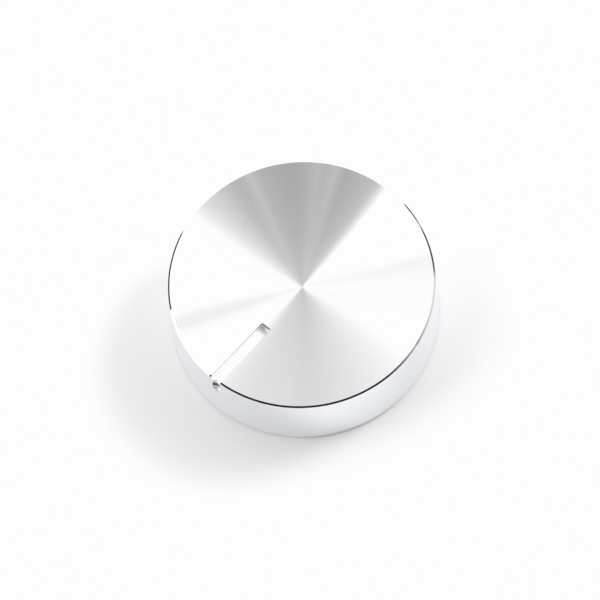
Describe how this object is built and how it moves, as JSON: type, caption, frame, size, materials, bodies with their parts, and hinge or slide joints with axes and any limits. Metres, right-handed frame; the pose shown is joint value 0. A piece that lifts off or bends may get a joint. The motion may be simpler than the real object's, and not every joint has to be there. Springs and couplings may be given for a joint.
{
  "type": "control knob",
  "caption": "Low wide turned aluminium control knob with a hollow face and a milled pointer, pushed onto a 6 mm half-flat shaft through a split plastic core.",
  "frame": {"origin": "on the knob's axis, in the plane of the base that stands on the bench or over the panel", "axes": "+Z along the axis, out of the face; -Y is the way the pointer points"},
  "size_m": [0.044, 0.044, 0.013],
  "materials": {
    "turned_aluminium": "spun face, bright cut edge, satin side",
    "black_moulding": "fine moulded grain",
    "spring_steel": "bright rolled strip"
  },
  "bodies": {
    "root": {"cap": "turned_aluminium", "core": "black_moulding", "spring_ring": "spring_steel"}
  },
  "joints": []
}
